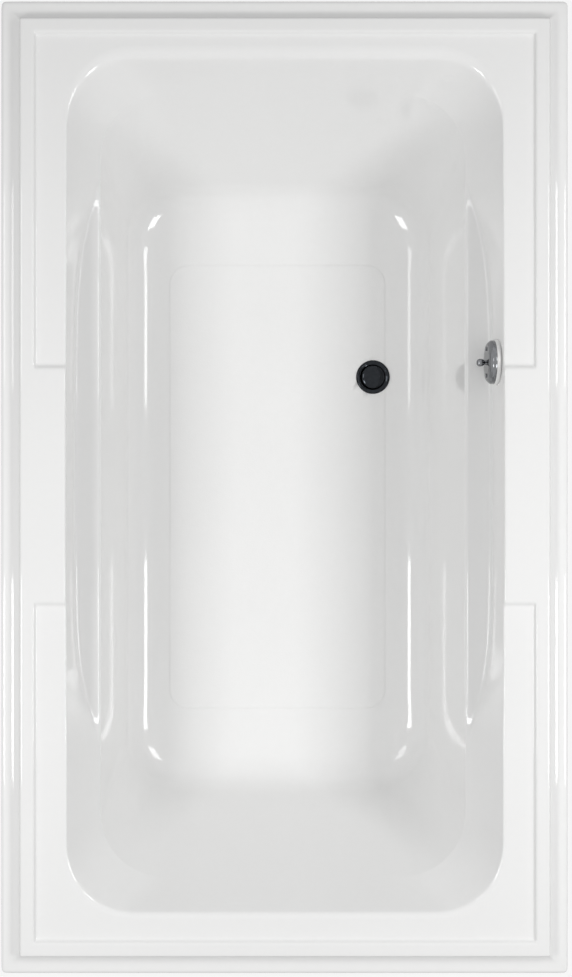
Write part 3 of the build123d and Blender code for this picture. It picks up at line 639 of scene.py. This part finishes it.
# Rows across the flat floor: the raised panel's edge, then rows shrinking to the middle.
def floorRows(stations, grow, raised):
    s = shape
    rows = []
    edges = [(0.0025, 0.0), (0.0006, 0.0), (-0.0004, 1.0), (-0.0025, 1.0)] if raised else [(0, 0)]
    for away, lift in edges:
        side = (s["treadX"] + away, s["floorDepth"])
        end = (s["treadY"] + away, s["floorDepth"])
        row = basinRow(stations, side, side, end, end, s["treadRound"] + away, grow)
        for point in row:
            point.z += lift * s["treadRise"]
        rows.append(row)
    inner = rows[-1]
    for share in (0.8, 0.55, 0.3, 0.1):
        rows.append([Vector((p.x * share, p.y * share, p.z)) for p in inner])
    # The innermost rows have bowed ends, so that no rung across them is flat.
    for row in rows[-2:]:
        widest = max(point.x for point in row)
        for point in row:
            bow = s["rungBow"] * (1 - (point.x / widest) ** 2)
            point.y += bow if point.y > 0 else -bow
    return rows


# Closes the last row with rungs from each point to its mirror image across the bath.
def closeMiddle(mesh, ring, sideCount):
    count = len(ring)
    tip = sideCount + cornerSteps + 1 + len(endStations) // 2
    mesh.faces.new((ring[tip - 1], ring[tip], ring[tip + 1]))
    for step in range(1, count // 2 - 1):
        right = (tip - step) % count, (tip - step - 1) % count
        left = (tip + step) % count, (tip + step + 1) % count
        mesh.faces.new((ring[right[1]], ring[right[0]], ring[left[0]], ring[left[1]]))
    far = (tip + count // 2) % count
    mesh.faces.new((ring[far - 1], ring[far], ring[(far + 1) % count]))


def newPiece(name, mesh, smoothed=False):
    data = bpy.data.meshes.new(name)
    mesh.to_mesh(data)
    mesh.free()
    piece = bpy.data.objects.new(name, data)
    bpy.context.scene.collection.objects.link(piece)
    if smoothed:
        shadeSmooth(piece)
    return piece


def shadeSmooth(piece):
    for face in piece.data.polygons:
        face.use_smooth = True


def buildShell(name, grow, skirt, raised):
    stations = stationsAlong()
    rows = shellRows(stations, grow, skirt) + floorRows(stations, grow, raised)
    mesh = bmesh.new()
    loops = [[mesh.verts.new(point) for point in row] for row in rows]
    count = len(rows[0])
    for upper, lower in zip(loops, loops[1:]):
        for index in range(count):
            after = (index + 1) % count
            mesh.faces.new((upper[index], upper[after], lower[after], lower[index]))
    closeMiddle(mesh, loops[-1], len(stations))
    bmesh.ops.recalc_face_normals(mesh, faces=mesh.faces)
    return newPiece(name, mesh, True)


def addSubdivision(piece):
    modifier = piece.modifiers.new("rounding", "SUBSURF")
    modifier.levels = 1
    modifier.render_levels = 1


def addThickness(piece, thickness):
    modifier = piece.modifiers.new("thickness", "SOLIDIFY")
    modifier.thickness = thickness
    modifier.offset = -1.0


# Replaces a piece's mesh by what its modifiers make of it.
def applyModifiers(piece):
    graph = bpy.context.evaluated_depsgraph_get()
    data = bpy.data.meshes.new_from_object(piece.evaluated_get(graph))
    piece.modifiers.clear()
    old = piece.data
    piece.data = data
    bpy.data.meshes.remove(old)


# Joins solids into the first one, or takes them away from it.
def combine(piece, others, operation, smoothed=True):
    for other in others:
        modifier = piece.modifiers.new("join", "BOOLEAN")
        modifier.operation = operation
        modifier.solver = "EXACT"
        modifier.object = other
    applyModifiers(piece)
    for other in others:
        bpy.data.objects.remove(other)
    if smoothed:
        shadeSmooth(piece)


def cutter(name, start, end, radius, segments=64):
    way = Vector(end) - Vector(start)
    mesh = bmesh.new()
    bmesh.ops.create_cone(
        mesh,
        cap_ends=True,
        segments=segments,
        radius1=radius,
        radius2=radius,
        depth=way.length,
    )
    turn = way.to_track_quat("Z", "Y").to_matrix().to_4x4()
    middle = Matrix.Translation((Vector(start) + Vector(end)) / 2)
    bmesh.ops.transform(mesh, matrix=middle @ turn, verts=mesh.verts)
    return newPiece(name, mesh)


# A block given by its middle and its three half sizes, turned about Y if wanted.
def solidBlock(name, middle, halves, turn=0.0):
    mesh = bmesh.new()
    bmesh.ops.create_cube(mesh, size=2.0)
    turned = Matrix.Translation(middle) @ Matrix.Rotation(turn, 4, "Y")
    matrix = turned @ Matrix.Diagonal((*halves, 1))
    bmesh.ops.transform(mesh, matrix=matrix, verts=mesh.verts)
    return newPiece(name, mesh)


# A turned piece: a closed or open profile of (radius, height), spun round an axis.
def turned(name, profile, origin, axis, segments=96, closed=False):
    mesh = bmesh.new()
    verts = [mesh.verts.new((radius, 0, height)) for radius, height in profile]
    edges = [mesh.edges.new(pair) for pair in zip(verts, verts[1:])]
    if closed:
        edges.append(mesh.edges.new((verts[-1], verts[0])))
    bmesh.ops.spin(
        mesh,
        geom=verts + edges,
        cent=(0, 0, 0),
        axis=(0, 0, 1),
        angle=2 * pi,
        steps=segments,
        use_merge=True,
        use_duplicate=False,
    )
    bmesh.ops.remove_doubles(mesh, verts=mesh.verts, dist=1e-6)
    bmesh.ops.recalc_face_normals(mesh, faces=mesh.faces)
    turn = Vector(axis).to_track_quat("Z", "Y").to_matrix().to_4x4()
    bmesh.ops.transform(mesh, matrix=Matrix.Translation(origin) @ turn, verts=mesh.verts)
    return newPiece(name, mesh, True)


# Millimetres to metres, for profiles written as (radius, height).
def metres(profile):
    return [(radius / 1000, height / 1000) for radius, height in profile]


# A narrow bevel. Hardened, it keeps crisp edges on a smooth-shaded metal part.
def addBevel(piece, width, hardened=False):
    modifier = piece.modifiers.new("edges", "BEVEL")
    modifier.width = width
    modifier.segments = 2
    modifier.limit_method = "ANGLE"
    modifier.angle_limit = radians(35)
    modifier.harden_normals = hardened


def place(piece, body, slot, material, *replaced):
    piece.data.materials.clear()
    piece.data.materials.append(materials[material])
    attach(piece, body)
    if replaced:
        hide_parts(*replaced)


drain = dict(x=0.207, y=0.238, hole=0.026, cutFrom=0.07, cutTo=0.12)
overflow = dict(x=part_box("overflow_plate")[1].x, y=0.238, z=0.497, hole=0.030)
overflow.update(cutInside=0.03, cutOutside=0.035)


def holeCutters():
    x, y = drain["x"], drain["y"]
    floorCut = cutter("drainCut", (x, y, drain["cutFrom"]), (x, y, drain["cutTo"]), drain["hole"])
    x, y, z = overflow["x"], overflow["y"], overflow["z"]
    near = (x - overflow["cutInside"], y, z)
    far = (x + overflow["cutOutside"], y, z)
    return [floorCut, cutter("wallCut", near, far, overflow["hole"])]


def makeLayer(name, grow, skirt, raised, thickness):
    piece = buildShell(name, grow, skirt, raised)
    addSubdivision(piece)
    addThickness(piece, thickness)
    combine(piece, holeCutters(), "DIFFERENCE", False)
    return piece


# The acrylic, and the glass fibre on its back, a little short of the skirt's edge.
def makeShell():
    s = dict(acrylic=0.004, under=0.0043, fibre=0.005, short=0.004)
    piece = makeLayer("bathShell", 0.0, shape["skirt"], True, s["acrylic"])
    place(piece, "tub", "white_acrylic", "acrylic", "acrylic_shell")
    skirt = shape["skirt"] + s["short"]
    backing = makeLayer("fibreLayer", s["under"], skirt, False, s["fibre"])
    place(backing, "tub", "glass_fibre", "fibre", "fibreglass_backing")


makeShell()
print("shell made")


# The ring in the floor, dished to the stopper's seat, with the cross that guides the stem, and
# the stopper's dome.
def makeDrain():
    s = dict(z=0.096, crossDrop=0.018, crossThick=0.004, crossReach=0.0206, barHalf=0.0016)
    s.update(hub=0.0065, stem=0.00308, stemCut=(-0.01, 0.02), edge=0.0003)
    ring = [(20.0, -26.0), (24.0, -26.0), (24.0, 0.0), (36.5, 0.0), (36.5, 1.1), (36.1, 2.2)]
    ring += [(35.3, 3.2), (34.1, 3.85), (32.8, 4.0), (31.6, 3.9), (30.6, 3.5), (28.6, 2.9)]
    ring += [(25.6, 1.95), (22.4, 1.1), (21.0, 0.75), (20.25, 0.3), (20.0, -0.5)]
    x, y = drain["x"], drain["y"]
    piece = turned("drainRing", metres(ring), (x, y, s["z"]), (0, 0, 1), closed=True)
    low = s["z"] - s["crossDrop"]
    half = s["crossThick"] / 2
    middle = (x, y, low + half)
    arms = [
        solidBlock("armX", middle, (s["crossReach"], s["barHalf"], half)),
        solidBlock("armY", middle, (s["barHalf"], s["crossReach"], half)),
        cutter("hub", (x, y, low), (x, y, low + 2 * half), s["hub"], 48),
    ]
    combine(piece, arms, "UNION")
    start, end = [(x, y, low + away) for away in s["stemCut"]]
    combine(piece, [cutter("hole", start, end, s["stem"], 48)], "DIFFERENCE")
    addBevel(piece, s["edge"], True)
    place(piece, "tub", "bright_metal", "chromePaintedDarkReflection", "drain_flange")
    dome = [(0.0, 0.0), (24.3, 0.0), (24.85, 0.35), (25.0, 0.9), (24.9, 1.5), (24.5, 2.15)]
    dome += [(25 * cos(turn), 1.6 + 5 * sin(turn)) for turn in (0.26, 0.4, 0.6, 0.85, 1.1, 1.35)]
    dome.append((0.0, 6.6))
    origin = (x, y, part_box("stopper_cap")[0].z)
    cap = turned("stopperDome", metres(dome), origin, (0, 0, 1))
    place(cap, "stopper", "bright_metal", "chromePaintedDarkReflection", "stopper_cap")


# The round cover, with its slot for the lever and its two screw holes, and the seat behind it.
def makeCover():
    s = dict(slotHalfWidth=0.0045, slotHalfHeight=0.0107, screwY=0.0255, screwHole=0.0023)
    s.update(edge=0.0003, padStart=0.0177)
    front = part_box("overflow_plate")[0].x
    y, z = overflow["y"], overflow["z"]
    outside = [(0.0, 0.0), (20.0, 0.0), (32.5, 0.05), (34.6, 0.5), (36.8, 1.9), (38.9, 4.2)]
    outside += [(40.4, 6.0), (41.2, 7.0), (41.5, 8.2), (41.5, 13.2), (41.3, 14.0)]
    inside = [(41.05, 14.0), (41.0, 8.4), (38.8, 6.3), (37.2, 4.6), (35.4, 2.9), (33.4, 1.8)]
    inside += [(31.0, 1.6), (0.0, 1.6)]
    cover = turned("overflowCover", metres(outside + inside), (front, y, z), (1, 0, 0))
    tools = [solidBlock("slot", (front, y, z), (0.02, s["slotHalfWidth"], s["slotHalfHeight"]))]
    for side in (-1, 1):
        across = y + side * s["screwY"]
        start, end = (front - 0.01, across, z), (front + 0.01, across, z)
        tools.append(cutter("screwHole", start, end, s["screwHole"], 32))
    combine(cover, tools, "DIFFERENCE")
    addBevel(cover, s["edge"], True)
    place(cover, "tub", "bright_metal", "chrome", "overflow_plate")
    back = overflow["x"]
    seat = [(30.0, 0.0), (40.3, 0.0), (40.8, 0.4), (40.8, 6.2), (43.0, 6.4), (43.0, 13.6)]
    seat.append((30.0, 13.6))
    ring = turned("overflowSeat", metres(seat), (back, y, z), (1, 0, 0), closed=True)
    place(ring, "tub", "white_acrylic", "acrylic")
    deep = (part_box("overflow_gasket")[0].x - back - s["padStart"]) * 1000
    pad = [(30.0, 0.0), (43.0, 0.0), (43.0, deep), (30.0, deep)]
    start = (back + s["padStart"], y, z)
    fibre = turned("fibreSeat", metres(pad), start, (1, 0, 0), closed=True)
    place(fibre, "tub", "glass_fibre", "fibre")


# The trip lever: a flat limb, a hub on its pin, and a turned knob in front of the cover.
def makeLever():
    s = dict(pivotX=0.414538, out=0.040, inward=0.042, rest=13.0, thick=0.003, depth=0.0025)
    s.update(hub=0.005, pinHole=0.00206, linkHole=0.00182, edge=0.0003)
    rest = radians(s["rest"])
    pivot = Vector((s["pivotX"], overflow["y"], overflow["z"]))
    inwardWay = Vector((cos(rest), 0, sin(rest)))
    knobPoint = pivot - inwardWay * s["out"]
    tail = pivot + inwardWay * s["inward"]
    flat = Vector((0, s["thick"], 0))
    half = (tail - knobPoint).length / 2
    middle = (knobPoint + tail) / 2
    limb = solidBlock("tripLever", middle, (half, s["thick"], s["depth"]), -rest)
    knob = [(0.0, -15.0), (2.35, -15.0), (2.45, -12.0), (3.1, -9.4), (4.8, -7.2), (6.4, -4.6)]
    knob += [(7.25, -1.6), (7.4, 0.8), (6.9, 3.4), (5.5, 5.5), (3.3, 6.9), (1.4, 7.35), (0.0, 7.4)]
    parts = [
        cutter("hub", pivot - flat, pivot + flat, s["hub"], 48),
        cutter("tailEnd", tail - flat, tail + flat, s["depth"], 40),
        turned("knob", metres(knob), knobPoint, -inwardWay, segments=64),
    ]
    combine(limb, parts, "UNION")
    holes = [
        cutter("pinHole", pivot - flat * 2, pivot + flat * 2, s["pinHole"], 40),
        cutter("linkHole", tail - flat * 2, tail + flat * 2, s["linkHole"], 40),
    ]
    combine(limb, holes, "DIFFERENCE")
    addBevel(limb, s["edge"], True)
    place(limb, "lever", "bright_metal", "chrome", "trip_lever")


makeDrain()
makeCover()
makeLever()
print("metal pieces made")


# Finishes for the CAD nodes that keep their own shape.
finishes = dict(
    rim_board_left="woodAlongY",
    rim_board_right="woodAlongY",
    rim_board_head="woodAlongX",
    rim_board_foot="woodAlongX",
    base_board="board",
    bearer_head="woodAlongX",
    bearer_middle="woodAlongX",
    bearer_foot="woodAlongX",
    bearer_pads="rubber",
    bearer_screws="steel",
    drain_gasket="rubber",
    drain_shoe="brass",
    waste_tube="brass",
    waste_tee="brass",
    overflow_tube="brass",
    overflow_elbow="brass",
    overflow_gasket="rubber",
    branch_nut="brass",
    lower_nut="brass",
    upper_nut="brass",
    branch_washer="rubber",
    lower_washer="rubber",
    upper_washer="rubber",
    plate_screws="chrome",
    lever_bracket="steel",
    lever_pin="steel",
    link_pin="steel",
    link_yoke="brass",
    link_rod="brass",
    link_nuts="brass",
    link_spring="steel",
    rocker_arm="brass",
    stopper_seal="rubber",
    stopper_stem="brass",
)


def dressNodes():
    edges = dict(woodAlongX=0.0015, woodAlongY=0.0015, board=0.0015, steel=0.0)
    for name, finish in finishes.items():
        piece = nodes[name]
        piece.data.materials.clear()
        piece.data.materials.append(materials[finish])
        width = edges.get(finish, 0.0004)
        if width:
            addBevel(piece, width)


dressNodes()
print("nodes dressed")


# One for rays that come straight from the camera, off gloss or through glass, else zero.
def seenDirectly(tree):
    rays = addNode(tree, "ShaderNodeLightPath").outputs
    indirect = compute(tree, "MAXIMUM", rays["Is Glossy Ray"], rays["Is Transmission Ray"])
    return compute(tree, "MAXIMUM", indirect, rays["Is Camera Ray"])


# The pale floor, which looks white to the camera, keeps the object's shadow and is clear
# from below.
def makeStage():
    settings = dict(size=60.0, colour=(0.9, 0.9, 0.9, 1), rough=0.6, lift=0.8)
    mesh = bmesh.new()
    bmesh.ops.create_grid(mesh, x_segments=1, y_segments=1, size=settings["size"])
    floor = newPiece("studioFloor", mesh)
    material, tree, shader = newMaterial("studioFloor")
    shader.inputs["Base Color"].default_value = settings["colour"]
    shader.inputs["Roughness"].default_value = settings["rough"]
    seen = compute(tree, "MULTIPLY", seenDirectly(tree), settings["lift"])
    glow = addNode(tree, "ShaderNodeEmission", {"Strength": 1.0}).outputs[0]
    lifted = {0: seen, 1: shader.outputs[0], 2: glow}
    above = addNode(tree, "ShaderNodeMixShader", lifted).outputs[0]
    under = addNode(tree, "ShaderNodeNewGeometry").outputs["Backfacing"]
    clear = addNode(tree, "ShaderNodeBsdfTransparent").outputs[0]
    both = addNode(tree, "ShaderNodeMixShader", {0: under, 1: above, 2: clear}).outputs[0]
    output = [node for node in tree.nodes if node.type == "OUTPUT_MATERIAL"][0]
    tree.links.new(both, output.inputs["Surface"])
    floor.data.materials.append(material)
    floor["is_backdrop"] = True


def addLamp(name, place, target, size, power):
    data = bpy.data.lights.new(name, "AREA")
    data.shape = "RECTANGLE"
    data.size, data.size_y = size
    data.energy = power
    lamp = bpy.data.objects.new(name, data)
    lamp.location = place
    aim = Vector(target) - Vector(place)
    lamp.rotation_mode = "QUATERNION"
    lamp.rotation_quaternion = aim.to_track_quat("-Z", "Y")
    bpy.context.scene.collection.objects.link(lamp)


# Soft light all round, and four square soft boxes over the long sides.
def makeLight():
    settings = dict(
        world=0.395,
        headLeft=4.6,
        headRight=8.2,
        footLeft=13.2,
        footRight=13.2,
        leftPlace=(-1.26, 2.26),
        rightPlace=(1.39, 2.19),
        headY=0.62,
        footY=-0.6,
        aimZ=0.3,
        boxSize=(0.62, 0.55),
    )
    world = bpy.data.worlds.new("studioWorld")
    world.use_nodes = True
    background = world.node_tree.nodes["Background"]
    background.inputs["Color"].default_value = (1, 1, 1, 1)
    tree = world.node_tree
    level = mapRange(tree, seenDirectly(tree), settings["world"], 1.0)
    tree.links.new(level, background.inputs["Strength"])
    bpy.context.scene.world = world
    for side in ("Left", "Right"):
        x, z = settings[side.lower() + "Place"]
        for end in ("head", "foot"):
            y = settings[end + "Y"]
            aim = (0, y, settings["aimZ"])
            addLamp(end + side, (x, y, z), aim, settings["boxSize"], settings[end + side])


makeStage()
makeLight()
setScene()
print("light and camera set")

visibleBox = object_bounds()
sizes = dict(cad=[list(corner) for corner in cadBox])
sizes["visual"] = [list(corner) for corner in visibleBox]
